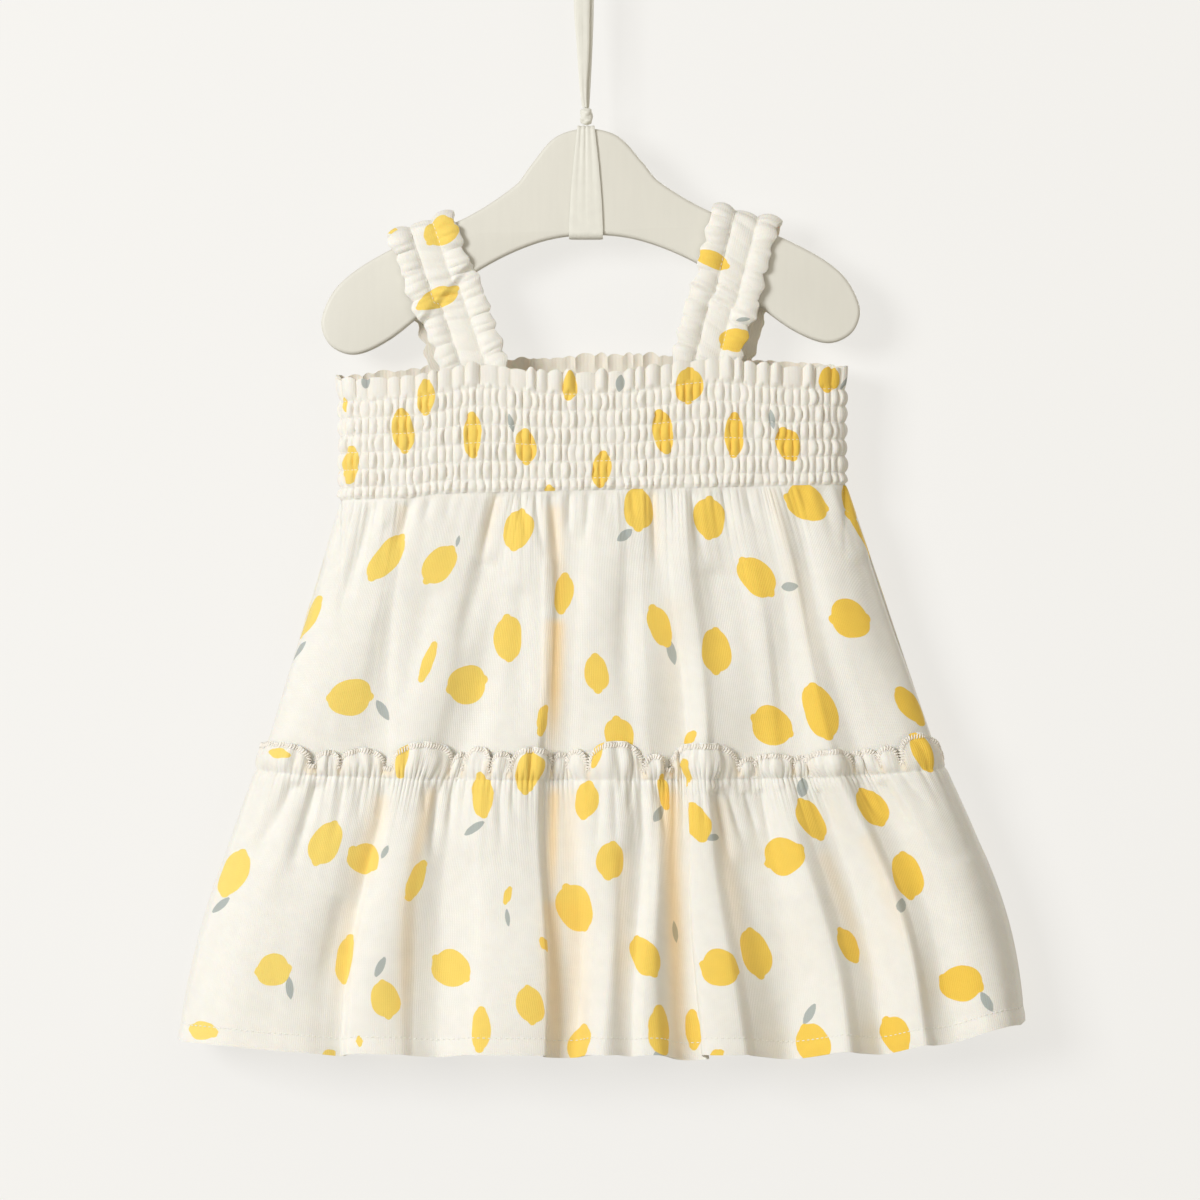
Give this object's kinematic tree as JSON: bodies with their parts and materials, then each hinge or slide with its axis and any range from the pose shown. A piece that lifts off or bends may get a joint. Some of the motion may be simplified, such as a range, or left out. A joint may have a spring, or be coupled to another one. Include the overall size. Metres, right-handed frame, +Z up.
{
  "type": "smocked dress on hanger",
  "caption": "Baby's sleeveless jersey sundress with a smocked bodice, ruffled shoulder straps and a gathered tiered skirt, hung on a flat wooden hanger by a ribbon.",
  "frame": {"origin": "top of the ribbon's loop, where a peg holds the hanger", "axes": "+Z up along the hanging dress, +X to the viewer's right, -Y out of the front of the dress"},
  "size_m": [0.3936, 0.0579, 0.5179],
  "materials": {
    "jersey": "fine cotton jersey, cream with a scattered lemon print",
    "painted_wood": "satin off-white paint",
    "ribbon": "soft cotton tape"
  },
  "bodies": {
    "root": {"bodice_front": "jersey", "bodice_back": "jersey", "strap_left": "jersey", "strap_right": "jersey", "skirt_upper_front": "jersey", "skirt_upper_back": "jersey", "skirt_lower_front": "jersey", "skirt_lower_back": "jersey", "hanger": "painted_wood", "tie_band": "ribbon", "tie_knot": "ribbon", "tie_ribbon": "ribbon", "tie_strand": "ribbon", "tie_loop": "ribbon"}
  },
  "joints": []
}
